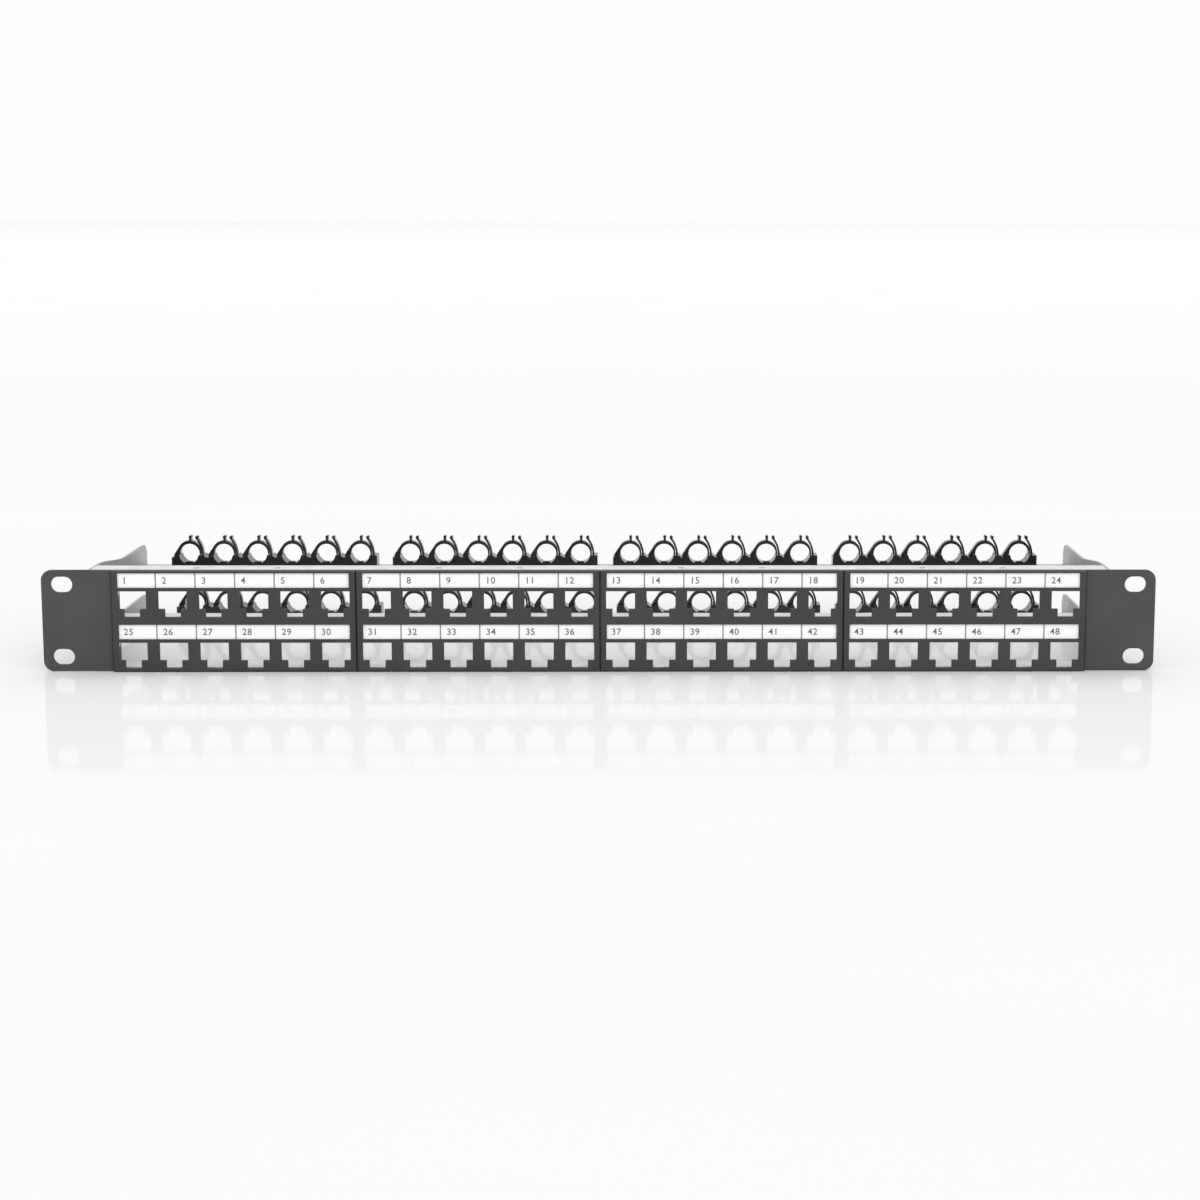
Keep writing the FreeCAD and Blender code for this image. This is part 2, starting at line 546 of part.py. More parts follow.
def make_cable_bar(row, rings):
    """Plate that carries a row of clip strips, with an arm folded at each end."""
    body = new_body(f"{row}_cable_bar")
    under = "(dims.strip_bottom - dims.frame_sheet)"
    plate = new_sketch(body, f"{row}_plate_outline", "XY_Plane", under)
    draw_rectangle(plate, "-dims.bar_half_width", "dims.bar_half_width", "dims.bar_front", "dims.bar_rear")
    pad(body, plate, "dims.frame_sheet", f"{row}_plate")

    for side, sign in SIDES.items():
        start = "dims.bar_half_width - dims.frame_sheet" if sign > 0 else "-dims.bar_half_width"
        arm = new_sketch(body, f"{row}_{side}_arm_outline", "YZ_Plane", start)
        draw_polygon(arm, [
            ("dims.arm_front", "dims.arm_bottom_front"), ("dims.arm_rise_start", "dims.arm_bottom_front"),
            ("dims.arm_rise_end", under), ("dims.bar_rear", under), ("dims.bar_rear", "dims.arm_top_rear"),
            ("dims.arm_slope_end", "dims.arm_top_rear"), ("dims.arm_slope_start", "dims.arm_top_front"),
            ("dims.arm_front", "dims.arm_top_front")])
        pad(body, arm, "dims.frame_sheet", f"{row}_{side}_arm")

    holes = new_sketch(body, f"{row}_arm_hole_outline", "YZ_Plane")
    for height in ("dims.screw_above", "-dims.screw_below"):
        draw_circle(holes, "dims.screw_place", height, "dims.screw_radius + dims.fit_clearance")
    pocket(body, holes, "2 * (dims.bar_half_width + dims.cut_beyond)", f"{row}_arm_holes", both=True)

    studs = new_sketch(body, f"{row}_stud_hole_outline", "XY_Plane", "dims.strip_bottom")
    for beside in SIDES.values():
        draw_circle(studs, f"{FIRST_MODULE} + {SHIFTS[row]} + {beside} * dims.stud_spacing / 2",
                    "dims.strip_front + dims.strip_depth / 2", "dims.stud_radius + dims.fit_clearance")
    first = pocket(body, studs, "dims.frame_sheet", f"{row}_stud_hole")
    repeat(body, first, f"{row}_stud_holes", "dims.module_count", "dims.module_pitch")

    corners = {
        "slope_start": ("dims.arm_slope_start", "dims.arm_top_front", "dims.arm_soft_bend"),
        "slope_end": ("dims.arm_slope_end", "dims.arm_top_rear", "dims.arm_soft_bend"),
        "rear_corner": ("dims.bar_rear", "dims.arm_top_rear", "dims.arm_corner"),
    }
    for corner, (back, up, radius) in corners.items():
        y, z = number_of(back), number_of(up)
        round_edges(body, f"{row}_{corner}", radius, "x", lambda p: near(p.y, y) and near(p.z, z))
    place(body, up=rings)
    nodes.append(body)


# ---------------------------------------------------------------- cable clips

def make_clip_strip(row, rings, module):
    """Moulded strip of six cable clips: ring bottoms, hinge seats, latch fingers and snap studs."""
    name = f"{row}_clip_strip_{module + 1}"
    body = new_body(name)
    front = "dims.strip_front"
    middle = "(dims.strip_front + dims.strip_depth / 2)"

    outline = front_sketch(body, f"{name}_outline", front)
    draw_rectangle(outline, "-dims.strip_length / 2", "dims.strip_length / 2",
                   "dims.strip_bottom", "dims.strip_top")
    pad(body, outline, "dims.strip_depth", f"{name}_blank", reverse=True)

    bore = front_sketch(body, f"{name}_ring_outline", front)
    draw_circle(bore, FIRST_RING, "0", "dims.ring_radius")
    first = pocket(body, bore, "dims.strip_depth", f"{name}_ring")
    repeat(body, first, f"{name}_rings", "dims.ports_per_row", "dims.clip_pitch")

    hinge = f"({FIRST_RING} + dims.hinge_across)"
    seat = front_sketch(body, f"{name}_seat_outline", f"{STRAP_FRONT} - dims.hinge_clearance")
    draw_circle(seat, hinge, "dims.hinge_up", "dims.hinge_radius + dims.hinge_clearance")
    first = pocket(body, seat, "dims.strap_depth + 2 * dims.hinge_clearance", f"{name}_seat")
    repeat(body, first, f"{name}_seats", "dims.ports_per_row", "dims.clip_pitch")

    dip = front_sketch(body, f"{name}_dip_outline", front)
    draw_polygon(dip, [
        (f"{hinge} - dims.relief_reach", "dims.strip_top"),
        (f"{hinge} - dims.relief_reach + dims.relief_depth", "dims.strip_top - dims.relief_depth"),
        (hinge, "dims.strip_top - dims.relief_depth"),
        (hinge, "dims.strip_top + dims.cut_beyond"),
        (f"{hinge} - dims.relief_reach", "dims.strip_top + dims.cut_beyond")])
    first = pocket(body, dip, "dims.strip_depth", f"{name}_dip")
    repeat(body, first, f"{name}_dips", "dims.ports_per_row", "dims.clip_pitch")

    grip = front_sketch(body, f"{name}_grip_outline", front)
    draw_rectangle(grip, f"{FIRST_RING} - dims.grip_width / 2", f"{FIRST_RING} + dims.grip_width / 2",
                   "-dims.ring_radius - dims.grip_root", "-dims.ring_radius + dims.grip_height")
    first = pad(body, grip, "dims.grip_depth", f"{name}_grip", reverse=True)
    repeat(body, first, f"{name}_grips", "dims.ports_per_row", "dims.clip_pitch")

    finger = front_sketch(body, f"{name}_finger_outline", f"{middle} - dims.finger_depth / 2")
    draw_finger(finger, hinge)
    first = pad(body, finger, "dims.finger_depth", f"{name}_finger", reverse=True)
    repeat(body, first, f"{name}_fingers", "dims.ports_per_row", "dims.clip_pitch")

    knob_reach = "(dims.finger_inside + dims.knob_setback + dims.finger_knob)"
    knob = front_sketch(body, f"{name}_knob_outline", f"{middle} - dims.finger_depth / 2")
    draw_circle(knob, f"{hinge} + {knob_reach} * cos(dims.finger_angle * 1 deg)",
                f"dims.hinge_up + {knob_reach} * sin(dims.finger_angle * 1 deg)", "dims.finger_knob")
    first = pad(body, knob, "dims.finger_depth", f"{name}_knob", reverse=True)
    repeat(body, first, f"{name}_knobs", "dims.ports_per_row", "dims.clip_pitch")

    stud = new_sketch(body, f"{name}_stud_outline", "XY_Plane", "dims.strip_bottom")
    head = new_sketch(body, f"{name}_stud_head_outline", "XY_Plane", "dims.strip_bottom - dims.frame_sheet")
    for beside in SIDES.values():
        draw_circle(stud, f"{beside} * dims.stud_spacing / 2", middle, "dims.stud_radius")
        draw_circle(head, f"{beside} * dims.stud_spacing / 2", middle, "dims.stud_head_radius")
    pad(body, stud, "dims.frame_sheet", f"{name}_studs", reverse=True)
    pad(body, head, "dims.stud_head_height", f"{name}_stud_heads", reverse=True)
    place(body, across=f"{module_middle(module)} + {SHIFTS[row]}", up=rings)
    return body


def draw_finger(sketch, hinge):
    """Latch finger between two arcs about the strap's hinge, so that the strap's tip swings along it."""
    centre = FreeCAD.Vector(number_of(hinge), number_of("dims.hinge_up"), 0)
    normal = FreeCAD.Vector(0, 0, 1)
    inside = number_of("dims.finger_inside")
    outside = inside + number_of("dims.finger_sheet")
    top = math.radians(number_of("dims.finger_angle"))
    inner = Part.ArcOfCircle(Part.Circle(centre, normal, inside), 0, top)
    outer = Part.ArcOfCircle(Part.Circle(centre, normal, outside), 0, top)
    foot = Part.LineSegment(inner.StartPoint, outer.StartPoint)
    tip = Part.LineSegment(outer.EndPoint, inner.EndPoint)
    inner, outer, foot, tip = [sketch.addGeometry(piece, False) for piece in (inner, outer, foot, tip)]
    for first, first_end, second, second_end in (
            (inner, 1, foot, 1), (foot, 2, outer, 1), (outer, 2, tip, 1), (tip, 2, inner, 2)):
        sketch.addConstraint(Sketcher.Constraint("Coincident", first, first_end, second, second_end))
    pin(sketch, inner, 3, hinge, "dims.hinge_up")
    sketch.addConstraint(Sketcher.Constraint("Coincident", inner, 3, outer, 3))
    size_radius(sketch, inner, "dims.finger_inside")
    size_radius(sketch, outer, "dims.finger_inside + dims.finger_sheet")
    sketch.addConstraint(Sketcher.Constraint("Horizontal", foot))
    sketch.addConstraint(Sketcher.Constraint("PointOnObject", inner, 3, foot))
    sketch.addConstraint(Sketcher.Constraint("PointOnObject", inner, 3, tip))
    slope = sketch.addConstraint(Sketcher.Constraint("Angle", foot, 1, tip, 2, top))
    sketch.setExpression(f"Constraints[{slope}]", "dims.finger_angle * 1 deg")


def draw_strap(sketch):
    """Strap outline: a bow over the ring, drawn in to a round root at the hinge."""
    normal = FreeCAD.Vector(0, 0, 1)
    origin = FreeCAD.Vector(0, 0, 0)
    middle = FreeCAD.Vector(number_of("dims.bow_across"), number_of("dims.bow_up"), 0)
    hinge = FreeCAD.Vector(number_of("dims.hinge_across"), number_of("dims.hinge_up"), 0)
    inside = number_of("dims.ring_radius")
    outside = number_of("dims.bow_radius")
    root = number_of("dims.hinge_radius")
    foot = number_of("dims.strap_foot")

    def angle_of(point, centre):
        return math.atan2(point.y - centre.y, point.x - centre.x)

    def level_point(centre, radius, sign):
        rise = foot - centre.y
        return FreeCAD.Vector(centre.x + sign * math.sqrt(radius ** 2 - rise ** 2), foot, 0)

    across = middle - hinge
    lean = angle_of(middle, hinge) + math.acos((root - outside) / across.Length)
    outward = FreeCAD.Vector(math.cos(lean), math.sin(lean), 0)
    bow_end = middle + outward * outside
    root_start = hinge + outward * root
    full_turn = 2 * math.pi
    bow_low, bow_high = level_point(origin, inside, 1), level_point(origin, inside, -1)
    tip = level_point(middle, outside, 1)
    root_end = level_point(hinge, root, 1)
    pieces = [
        Part.ArcOfCircle(Part.Circle(middle, normal, outside), angle_of(tip, middle),
                         angle_of(bow_end, middle)),
        Part.LineSegment(bow_end, root_start),
        Part.ArcOfCircle(Part.Circle(hinge, normal, root), angle_of(root_start, hinge),
                         angle_of(root_end, hinge) + full_turn),
        Part.LineSegment(root_end, bow_high),
        Part.ArcOfCircle(Part.Circle(origin, normal, inside), angle_of(bow_low, origin),
                         angle_of(bow_high, origin) + full_turn),
        Part.LineSegment(bow_low, tip)]
    bow, neck, barrel, sill, ring, lip = [sketch.addGeometry(piece, False) for piece in pieces]

    def join(kind, *ends):
        return sketch.addConstraint(Sketcher.Constraint(kind, *ends))

    join("Tangent", bow, 2, neck, 1)
    join("Tangent", neck, 2, barrel, 1)
    join("Coincident", barrel, 2, sill, 1)
    join("Coincident", sill, 2, ring, 2)
    join("Coincident", ring, 1, lip, 1)
    join("Coincident", lip, 2, bow, 1)
    join("Coincident", ring, 3, -1, 1)
    join("Horizontal", sill)
    join("Horizontal", lip)
    pin(sketch, bow, 3, "dims.bow_across", "dims.bow_up")
    pin(sketch, barrel, 3, "dims.hinge_across", "dims.hinge_up")
    size_radius(sketch, bow, "dims.bow_radius")
    size_radius(sketch, ring, "dims.ring_radius")
    size_radius(sketch, barrel, "dims.hinge_radius")
    for line in (sill, lip):
        index = join("DistanceY", -1, 1, line, 1, foot)
        sketch.setExpression(f"Constraints[{index}]", "dims.strap_foot")


def make_strap(row, rings, module, clip):
    """Hinged strap of one cable clip, with its thumb tab."""
    port = (list(ROWS).index(row) * len(MODULES) + module) * len(CLIPS) + clip + 1
    name = f"clip_strap_{port:02d}"
    body = new_body(name)
    bow = front_sketch(body, f"{name}_bow_outline", STRAP_FRONT)
    draw_strap(bow)
    pad(body, bow, "dims.strap_depth", f"{name}_bow", reverse=True)
    stem = front_sketch(body, f"{name}_tab_outline", STRAP_FRONT)
    draw_rectangle(stem, "dims.tab_across - dims.tab_sheet / 2", "dims.tab_across + dims.tab_sheet / 2",
                   "dims.ring_radius + dims.tab_root", "dims.tab_height")
    pad(body, stem, "dims.strap_depth", f"{name}_tab", reverse=True)
    knob = front_sketch(body, f"{name}_knob_outline", STRAP_FRONT)
    draw_circle(knob, "dims.tab_across", "dims.tab_height", "dims.tab_knob")
    pad(body, knob, "dims.strap_depth", f"{name}_knob", reverse=True)
    place(body, across=f"{module_middle(module)} + {SHIFTS[row]} + {FIRST_RING} + {clip} * dims.clip_pitch",
          up=rings)
    nodes.append(body)


# ---------------------------------------------------------------- fasteners

def round_bar(name, radius, length, start, back, up):
    """Cylinder along X that starts at start."""
    bar = doc.addObject("Part::Cylinder", name)
    bar.setExpression("Radius", radius)
    bar.setExpression("Height", length)
    bar.Placement.Rotation = FreeCAD.Rotation(FreeCAD.Vector(0, 1, 0), 90)
    place(bar, across=start, back=back, up=up)
    return bar


def fused(name, pieces):
    whole = doc.addObject("Part::MultiFuse", name)
    whole.Shapes = pieces
    doc.recompute()
    return whole


def make_screw(name, sign, up):
    """Pan-head screw with a cross recess, through a bar's arm and the frame's end wall."""
    seat = "dims.bar_half_width"
    back = "dims.screw_place"
    head_start = seat if sign > 0 else f"-{seat} - dims.screw_head_height"
    shank_start = f"{seat} - dims.screw_length" if sign > 0 else f"-{seat}"
    head = round_bar(f"{name}_head", "dims.screw_head_radius", "dims.screw_head_height",
                     head_start, back, up)
    shank = round_bar(f"{name}_shank", "dims.screw_radius", "dims.screw_length", shank_start, back, up)
    blank = fused(f"{name}_blank", [head, shank])
    face = f"{sign} * ({seat} + dims.screw_head_height)"
    bars = []
    for index, (wide, tall) in enumerate((("dims.cross_width", "dims.cross_length"),
                                          ("dims.cross_length", "dims.cross_width"))):
        bar = doc.addObject("Part::Box", f"{name}_recess_{index}")
        bar.setExpression("Length", "2 * dims.cross_depth")
        bar.setExpression("Width", wide)
        bar.setExpression("Height", tall)
        place(bar, across=f"{face} - dims.cross_depth", back=f"{back} - {wide} / 2", up=f"{up} - {tall} / 2")
        bars.append(bar)
    cross = fused(f"{name}_recess", bars)
    screw = doc.addObject("Part::Cut", name)
    screw.Base = blank
    screw.Tool = cross
    doc.recompute()
    return screw


def make_rivet(name, sign, up):
    """Rivet through an ear's tab and the frame's inner wall, with a head on both sides."""
    back = "dims.rivet_place"
    bay_face = "(dims.inner_wall - dims.ear_sheet)"
    box_face = "(dims.inner_wall + dims.frame_sheet)"
    starts = {
        "head": (f"{bay_face} - dims.rivet_head_height" if sign > 0 else f"-{bay_face}"),
        "shank": (bay_face if sign > 0 else f"-{box_face}"),
        "tail": (box_face if sign > 0 else f"-{box_face} - dims.rivet_head_height"),
    }
    sizes = {
        "head": ("dims.rivet_head_radius", "dims.rivet_head_height"),
        "shank": ("dims.rivet_radius", "dims.ear_sheet + dims.frame_sheet"),
        "tail": ("dims.rivet_tail_radius", "dims.rivet_head_height"),
    }
    pieces = [round_bar(f"{name}_{part}", *sizes[part], starts[part], back, up) for part in starts]
    return fused(name, pieces)


def make_fasteners():
    pieces = []
    for side, sign in SIDES.items():
        for row, rings in ROWS.items():
            for level, height in (("high", f"({rings} + dims.screw_above)"),
                                  ("low", f"({rings} - dims.screw_below)")):
                pieces.append(make_screw(f"{side}_{row}_{level}_screw", sign, height))
        for level, above in (("high", 1), ("low", -1)):
            pieces.append(make_rivet(f"{side}_{level}_rivet", sign, f"({above} * dims.rivet_height)"))
    gather("fasteners", pieces)


# ---------------------------------------------------------------- assembly

gather("rack_ears", [make_ear(side, sign) for side, sign in SIDES.items()])
make_frame()
for module in MODULES:
    make_bezel(module)
make_label_layer("label_strips", "dims.label_sheet",
                 "-dims.bezel_depth + dims.window_depth - dims.label_sheet")
make_label_layer("label_covers", "dims.cover_sheet",
                 "-dims.bezel_depth + dims.window_depth"
                 " - dims.label_sheet - dims.cover_gap - dims.cover_sheet")
for row, rings in ROWS.items():
    make_cable_bar(row, rings)
gather("clip_strips", [make_clip_strip(row, rings, module)
                       for row, rings in ROWS.items() for module in MODULES])
for row, rings in ROWS.items():
    for module in MODULES:
        for clip in CLIPS:
            make_strap(row, rings, module, clip)
make_fasteners()
doc.recompute()

failed = [thing.Name for thing in doc.Objects if {"Invalid", "Error"} & set(thing.State)]
if failed:
    raise RuntimeError(f"these objects failed: {failed}")
for node in nodes:
    if node.Shape.isNull() or not node.Shape.isValid():
        raise RuntimeError(f"{node.Label} has no valid shape")

os.makedirs("parts", exist_ok=True)
for node in nodes:
    node.Shape.exportStep(f"parts/{node.Label}.step")
print(len(nodes), "nodes written")
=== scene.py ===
import json
import math

import bmesh
import bpy
from mathutils import Matrix, Vector


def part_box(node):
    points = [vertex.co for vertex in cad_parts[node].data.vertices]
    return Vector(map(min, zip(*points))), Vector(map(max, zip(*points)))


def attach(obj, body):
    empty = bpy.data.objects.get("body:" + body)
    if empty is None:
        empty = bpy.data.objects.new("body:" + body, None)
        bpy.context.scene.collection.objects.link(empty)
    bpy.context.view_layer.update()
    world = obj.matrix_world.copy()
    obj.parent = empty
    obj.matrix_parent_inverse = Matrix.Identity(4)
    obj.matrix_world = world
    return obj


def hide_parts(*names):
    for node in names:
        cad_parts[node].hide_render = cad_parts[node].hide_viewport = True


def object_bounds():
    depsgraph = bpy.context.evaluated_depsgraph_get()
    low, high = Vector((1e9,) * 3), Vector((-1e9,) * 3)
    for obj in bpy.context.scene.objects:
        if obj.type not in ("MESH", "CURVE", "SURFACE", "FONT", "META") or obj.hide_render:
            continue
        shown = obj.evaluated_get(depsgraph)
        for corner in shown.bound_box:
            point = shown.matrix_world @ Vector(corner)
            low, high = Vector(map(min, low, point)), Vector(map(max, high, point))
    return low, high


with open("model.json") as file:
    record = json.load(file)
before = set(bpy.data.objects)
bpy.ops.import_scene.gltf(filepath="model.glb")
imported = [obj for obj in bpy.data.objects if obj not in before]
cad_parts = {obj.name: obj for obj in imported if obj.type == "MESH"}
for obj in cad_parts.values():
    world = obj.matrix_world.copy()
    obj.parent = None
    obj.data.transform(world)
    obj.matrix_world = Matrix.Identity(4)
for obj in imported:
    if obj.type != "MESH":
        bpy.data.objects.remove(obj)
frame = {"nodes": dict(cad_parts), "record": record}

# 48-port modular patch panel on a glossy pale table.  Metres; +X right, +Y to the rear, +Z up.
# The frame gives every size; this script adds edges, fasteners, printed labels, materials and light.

MM = 0.001
MODULES = 4
PORTS_PER_ROW = 6

cad_low, cad_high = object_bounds()
record = frame["record"]


# ---------------------------------------------------------------- node helpers

class Look:
    """A node material under construction: one Principled shader and the textures that feed it."""

    def __init__(self, name):
        self.material = bpy.data.materials.new(name)
        self.material.use_nodes = True
        self.tree = self.material.node_tree
        self.shader = self.tree.nodes["Principled BSDF"]
        self.place = self.add("ShaderNodeTexCoord").outputs["Object"]

    def add(self, kind, **settings):
        node = self.tree.nodes.new(kind)
        for key, value in settings.items():
            setattr(node, key, value)
        return node

    def link(self, source, target):
        self.tree.links.new(source, target)

    def stretched(self, scale):
        """The object's own coordinates, stretched along its axes."""
        mapping = self.add("ShaderNodeMapping")
        mapping.inputs["Scale"].default_value = scale
        self.link(self.place, mapping.inputs["Vector"])
        return mapping.outputs["Vector"]

    def noise(self, size, detail=3.0, vector=None):
        """Cloudy pattern whose features are about size metres across."""
        node = self.add("ShaderNodeTexNoise")
        node.inputs["Scale"].default_value = 1.0 / size
        node.inputs["Detail"].default_value = detail
        self.link(vector or self.place, node.inputs["Vector"])
        return node.outputs["Fac"]

    def cells(self, size, output="Distance"):
        """Cell pattern whose cells are about size metres across."""
        node = self.add("ShaderNodeTexVoronoi")
        node.inputs["Scale"].default_value = 1.0 / size
        self.link(self.place, node.inputs["Vector"])
        return node.outputs[output]

    def ramp(self, factor, *stops):
        """Colours along a factor, given as (position, colour) pairs."""
        node = self.add("ShaderNodeValToRGB")
        elements = node.color_ramp.elements
        while len(elements) < len(stops):
            elements.new(0.5)
        for element, (position, colour) in zip(elements, stops):
            element.position = position
            element.color = (*colour, 1.0)
        self.link(factor, node.inputs["Fac"])
        return node.outputs["Color"]

    def spread(self, factor, low, high):
        """A factor from 0 to 1, moved to the range from low to high."""
        node = self.add("ShaderNodeMapRange")
        node.inputs["To Min"].default_value = low
        node.inputs["To Max"].default_value = high
        self.link(factor, node.inputs["Value"])
        return node.outputs["Result"]

    def mixed(self, first, second):
        """Two colours in equal parts."""
        node = self.add("ShaderNodeMix", data_type="RGBA")
        sockets = {socket.identifier: socket for socket in node.inputs}
        sockets["Factor_Float"].default_value = 0.5
        self.link(first, sockets["A_Color"])
        self.link(second, sockets["B_Color"])
        return next(s for s in node.outputs if s.identifier == "Result_Color")

    def relief(self, *layers):
        """Bump from (height, depth in metres) layers, one over the other."""
        normal = None
        for height, depth in layers:
            node = self.add("ShaderNodeBump")
            node.inputs["Strength"].default_value = 1.0
            node.inputs["Distance"].default_value = depth
            self.link(height, node.inputs["Height"])
            if normal is not None:
                self.link(normal, node.inputs["Normal"])
            normal = node.outputs["Normal"]
        self.link(normal, self.shader.inputs["Normal"])

    def colour(self, source):
        self.link(source, self.shader.inputs["Base Color"])

    def roughness(self, source):
        self.link(source, self.shader.inputs["Roughness"])

    def fixed(self, **values):
        """Values that are the same all over, set on the shader's own sockets."""
        for name, value in values.items():
            self.shader.inputs[name.replace("_", " ").title().replace("Ior", "IOR")].default_value = value


NEUTRAL = (1.0, 1.0, 1.0)
COOL = (1.0, 1.0, 1.01)
WARM = (1.0, 1.0, 0.99)
CREAM = (1.0, 1.0, 0.995)


def grey(value, tint=NEUTRAL):
    """Grey of a given brightness, with a faint tint."""
    return tuple(value * t for t in tint)


# ---------------------------------------------------------------- materials

def make_black_steel():
    """Satin powder coat: a fine orange-peel skin, faintly uneven in tone."""
    look = Look("black_steel")
    tone = look.noise(24 * MM, detail=4.0)
    look.colour(look.ramp(tone, (0.3, grey(0.042)), (0.7, grey(0.053))))
    grain = look.noise(0.35 * MM, detail=2.0)
    look.roughness(look.spread(look.noise(5 * MM), 0.42, 0.58))
    look.relief((grain, 0.03 * MM), (look.noise(1.6 * MM, detail=1.0), 0.02 * MM))
    return look.material


def make_bezel_plastic():
    """Matte moulded plastic with a spark-eroded grain."""
    look = Look("bezel_plastic")
    tone = look.noise(18 * MM, detail=5.0)
    look.colour(look.ramp(tone, (0.3, grey(0.027)), (0.7, grey(0.035))))
    look.roughness(look.spread(look.noise(3 * MM), 0.5, 0.64))
    look.relief((look.cells(0.22 * MM), 0.012 * MM), (look.noise(0.5 * MM), 0.012 * MM))
    return look.material


def make_zinc_sheet(name, dark, pale):
    """Zinc-coated sheet: crystals of different brightness under faint rolling marks."""
    look = Look(name)
    wobble = look.noise(7 * MM, detail=3.0)
    crystal = look.cells(3.2 * MM, output="Color")
    patch = look.ramp(crystal, (0.0, grey(dark, COOL)), (1.0, grey(pale, WARM)))
    cloud = look.ramp(wobble, (0.3, grey(dark)), (0.7, grey(pale)))
    look.colour(look.mixed(patch, cloud))
    rolled = look.noise(1.0, detail=3.0, vector=look.stretched((30.0, 900.0, 900.0)))
    look.roughness(look.spread(crystal, 0.38, 0.52))
    look.relief((rolled, 0.010 * MM), (look.noise(0.8 * MM), 0.008 * MM))
    look.fixed(metallic=1.0)
    return look.material


def make_zinc_plated_steel():
    """Bright zinc plate with a faint passivation tint."""
    look = Look("zinc_plated_steel")
    tint = look.noise(1.4 * MM, detail=3.0)
    look.colour(look.ramp(tint, (0.3, (0.70, 0.70, 0.66)), (0.7, (0.72, 0.74, 0.78))))
    look.roughness(look.spread(look.noise(0.5 * MM), 0.2, 0.34))
    look.relief((look.noise(0.25 * MM), 0.006 * MM))
    look.fixed(metallic=1.0)
    return look.material


def make_label_card():
    """White label card with a faint fibre structure."""
    look = Look("label_card")
    fibre = look.noise(0.25 * MM, detail=4.0)
    look.colour(look.ramp(fibre, (0.3, grey(0.96, CREAM)), (0.7, grey(0.985))))
    look.roughness(look.spread(look.noise(1.5 * MM), 0.65, 0.8))
    look.relief((fibre, 0.0015 * MM))
    return look.material


def make_label_ink():
    """Printed ink, a little uneven over the card's fibres."""
    look = Look("label_ink")
    fibre = look.noise(0.3 * MM, detail=3.0)
    look.colour(look.ramp(fibre, (0.3, grey(0.05)), (0.7, grey(0.08))))
    look.roughness(look.spread(fibre, 0.5, 0.7))
    return look.material


def make_label_line():
    """Grey printed line between two label cells."""
    look = Look("label_line")
    fibre = look.noise(0.3 * MM, detail=3.0)
    look.colour(look.ramp(fibre, (0.3, grey(0.19)), (0.7, grey(0.24))))
    look.roughness(look.spread(fibre, 0.55, 0.75))
    return look.material


def make_clear_plastic():
    """Clear polished cover with faint handling marks in its gloss."""
    look = Look("clear_plastic")
    haze = look.noise(6 * MM, detail=4.0)
    look.colour(look.ramp(haze, (0.3, (0.93, 0.94, 0.95)), (0.7, (0.96, 0.97, 0.98))))
    look.roughness(look.spread(look.noise(1.2 * MM, detail=4.0), 0.05, 0.14))
    look.fixed(alpha=0.04, ior=1.49)
    return look.material


def make_clip_nylon():
    """Glossy black nylon with a soft moulding skin."""
    look = Look("clip_nylon")
    tone = look.noise(6 * MM, detail=3.0)
    look.colour(look.ramp(tone, (0.3, grey(0.008)), (0.7, grey(0.013))))
    look.roughness(look.spread(look.noise(1.5 * MM), 0.14, 0.26))
    look.relief((look.noise(0.6 * MM), 0.008 * MM), (look.noise(3 * MM, detail=1.0), 0.03 * MM))
    look.fixed(ior=1.53)
    return look.material


FLOOR_TONE = 0.797


def make_floor_gloss():
    """Pale table top with a faint gloss, as bright as the backdrop under this light."""
    look = Look("table_top")
    cloud = look.noise(0.3, detail=2.0)
    look.colour(look.ramp(cloud, (0.3, grey(FLOOR_TONE)), (0.7, grey(FLOOR_TONE + 0.005))))
    look.roughness(look.spread(look.noise(0.2), 0.06, 0.08))
    look.fixed(ior=1.08)
    return look.material


LOOKS = {
    "black_steel": make_black_steel(),
    "bezel_plastic": make_bezel_plastic(),
    "galvanised_steel": make_zinc_sheet("galvanised_steel", 0.62, 0.84),
    # The cable bars take a darker copy of the frame's zinc sheet: its lower tone is painted shade on the
    # bars' side arms.
    "bar_steel": make_zinc_sheet("bar_steel", 0.37, 0.48),
    "zinc_plated_steel": make_zinc_plated_steel(),
    "label_card": make_label_card(),
    "label_ink": make_label_ink(),
    "label_line": make_label_line(),
    "clear_plastic": make_clear_plastic(),
    "clip_nylon": make_clip_nylon(),
}


# ---------------------------------------------------------------- CAD nodes: material and edges

NODE_SLOTS = {part["node"]: part["material_slot"] for part in record["subparts"]}
EDGE_ROUNDING = {
    "rack_ears": 0.25 * MM,
    "rear_frame": 0.12 * MM,
    "bezel": 0.22 * MM,
    "label_covers": 0.12 * MM,
    "cable_bar": 0.15 * MM,
    "clip_strips": 0.16 * MM,
    "clip_strap": 0.16 * MM,
}
EDGE_SEGMENTS = 2
WELD_DISTANCE = 1e-6
FLAT_ANGLE = math.radians(0.4)
SHARP_ANGLE = math.radians(35)


def soften(thing, width):
    """Round the sharp edges of a CAD node with modifiers."""
    weld = thing.modifiers.new("weld", "WELD")
    weld.merge_threshold = WELD_DISTANCE
    flat = thing.modifiers.new("flat", "DECIMATE")
    flat.decimate_type = "DISSOLVE"
    flat.angle_limit = FLAT_ANGLE
    bevel = thing.modifiers.new("edges", "BEVEL")
    bevel.width = width
    bevel.segments = EDGE_SEGMENTS
    bevel.limit_method = "ANGLE"
    bevel.angle_limit = SHARP_ANGLE
    bevel.harden_normals = True
    bevel.use_clamp_overlap = True


def dress(node, thing):
    """Give a CAD node its slot's material and its rounded edges."""
    slot = NODE_SLOTS[node]
    thing.data.materials.clear()
    thing.data.materials.append(LOOKS[slot])
    widths = [width for part, width in EDGE_ROUNDING.items() if part in node]
    if widths:
        for layer in ("custom_normal", "sharp_face"):
            if layer in thing.data.attributes:
                thing.data.attributes.remove(thing.data.attributes[layer])
        soften(thing, widths[0])


for node, thing in frame["nodes"].items():
    dress(node, thing)


# ---------------------------------------------------------------- mesh helpers

